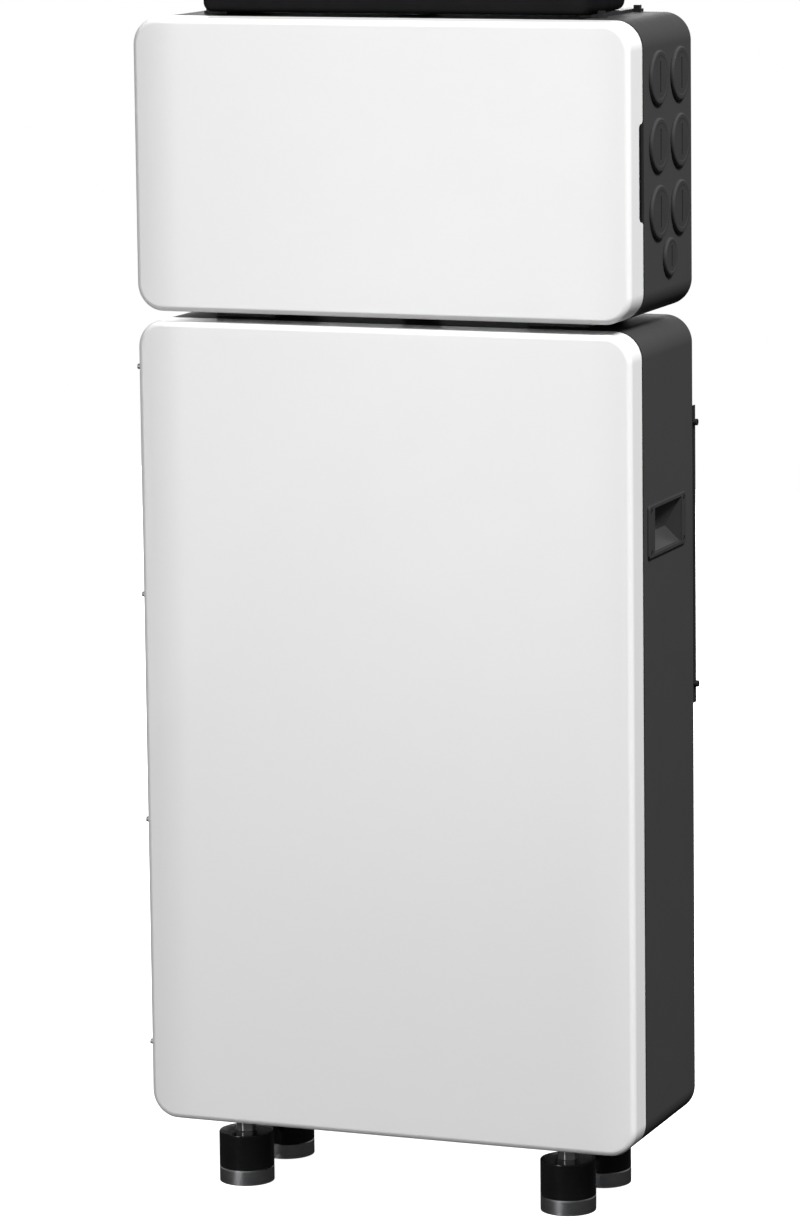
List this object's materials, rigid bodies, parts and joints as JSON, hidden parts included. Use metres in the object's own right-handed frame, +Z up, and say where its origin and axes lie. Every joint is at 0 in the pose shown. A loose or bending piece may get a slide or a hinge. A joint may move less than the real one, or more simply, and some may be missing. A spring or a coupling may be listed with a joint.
{
  "type": "wall battery unit",
  "caption": "Floor-standing wall battery: white battery cabinet on levelling feet, wiring box with pull-off cover and black inverter on top.",
  "frame": {"origin": "middle of the overall width and depth, on the floor under the feet", "axes": "+Z up, front faces -Y, wall at +Y, +X to the right of someone who faces the front"},
  "size_m": [0.6704, 0.255, 1.9115],
  "materials": {
    "white_shell": "satin white powder coat",
    "dark_shell": "fine dark grey powder coat",
    "seal": "black foam rubber",
    "dark_plastic": "moulded dark grey plastic",
    "zinc_steel": "zinc plated",
    "black_steel": "black coated steel",
    "foot_black": "glossy black",
    "foot_steel": "turned steel",
    "inverter_black": "satin black",
    "cell_blue": "blue cell wrap",
    "copper": "bare copper",
    "brass": "bare brass",
    "breaker_grey": "light grey moulding",
    "toggle_black": "black moulding",
    "board_green": "green board",
    "fin_aluminium": "extruded aluminium"
  },
  "bodies": {
    "cabinet": {"battery_cover": "white_shell", "battery_chassis": "dark_shell", "wiring_chassis": "dark_shell", "battery_gasket": "seal", "wiring_gasket": "seal", "handle_right": "dark_plastic", "handle_left": "dark_plastic", "conduit_plug_1": "dark_plastic", "conduit_plug_2": "dark_plastic", "conduit_plug_3": "dark_plastic", "conduit_plug_4": "dark_plastic", "conduit_plug_5": "dark_plastic", "conduit_plug_6": "dark_plastic", "conduit_plug_7": "dark_plastic", "cover_stiffener": "zinc_steel", "cover_screw_1": "zinc_steel", "cover_screw_2": "zinc_steel", "cover_screw_3": "zinc_steel", "cover_screw_4": "zinc_steel", "module_tray": "zinc_steel", "module_clamp": "zinc_steel", "hanger_frame": "zinc_steel", "battery_nipple": "zinc_steel", "inverter_nipple": "zinc_steel", "din_rail": "zinc_steel", "wall_bracket": "black_steel", "bracket_bolt_1": "black_steel", "bracket_bolt_2": "black_steel", "bracket_bolt_3": "black_steel", "bracket_bolt_4": "black_steel", "stack_spacer_left": "black_steel", "stack_spacer_right": "black_steel", "inverter_rail_left": "black_steel", "inverter_rail_right": "black_steel", "battery_manager": "inverter_black", "inverter_front": "inverter_black", "inverter_case": "inverter_black", "cell_module_left": "cell_blue", "cell_module_right": "cell_blue", "module_link": "copper", "ground_bar": "brass", "battery_fuse": "breaker_grey", "battery_breaker": "breaker_grey", "backup_breaker": "breaker_grey", "grid_breaker": "breaker_grey", "control_board": "board_green", "inverter_board": "board_green", "heat_sink": "fin_aluminium"},
    "wiring_cover": {"wiring_cover": "white_shell"},
    "battery_toggle": {"battery_toggle": "toggle_black"},
    "backup_toggle": {"backup_toggle": "toggle_black"},
    "grid_toggle": {"grid_toggle": "toggle_black"},
    "foot_1": {"foot_core_1": "foot_steel", "foot_sleeve_1": "foot_black"},
    "foot_2": {"foot_core_2": "foot_steel", "foot_sleeve_2": "foot_black"},
    "foot_3": {"foot_core_3": "foot_steel", "foot_sleeve_3": "foot_black"},
    "foot_4": {"foot_core_4": "foot_steel", "foot_sleeve_4": "foot_black"}
  },
  "joints": [
    {"name": "wiring_cover_pull", "type": "slide", "parent": "cabinet", "child": "wiring_cover", "axis": [0, -1, 0], "range_m": [0, 0.06]},
    {"name": "battery_toggle_throw", "type": "hinge", "parent": "cabinet", "child": "battery_toggle", "pos_m": [-0.125, 0.0504, 1.3721], "axis": [1, 0, 0], "range_deg": [0, 60]},
    {"name": "backup_toggle_throw", "type": "hinge", "parent": "cabinet", "child": "backup_toggle", "pos_m": [0, 0.0504, 1.3721], "axis": [1, 0, 0], "range_deg": [0, 60]},
    {"name": "grid_toggle_throw", "type": "hinge", "parent": "cabinet", "child": "grid_toggle", "pos_m": [0.125, 0.0504, 1.3721], "axis": [1, 0, 0], "range_deg": [0, 60]},
    {"name": "foot_1_height", "type": "slide", "parent": "cabinet", "child": "foot_1", "axis": [0, 0, -1], "range_m": [0, 0.012]},
    {"name": "foot_2_height", "type": "slide", "parent": "cabinet", "child": "foot_2", "axis": [0, 0, -1], "range_m": [0, 0.012]},
    {"name": "foot_3_height", "type": "slide", "parent": "cabinet", "child": "foot_3", "axis": [0, 0, -1], "range_m": [0, 0.012]},
    {"name": "foot_4_height", "type": "slide", "parent": "cabinet", "child": "foot_4", "axis": [0, 0, -1], "range_m": [0, 0.012]}
  ]
}
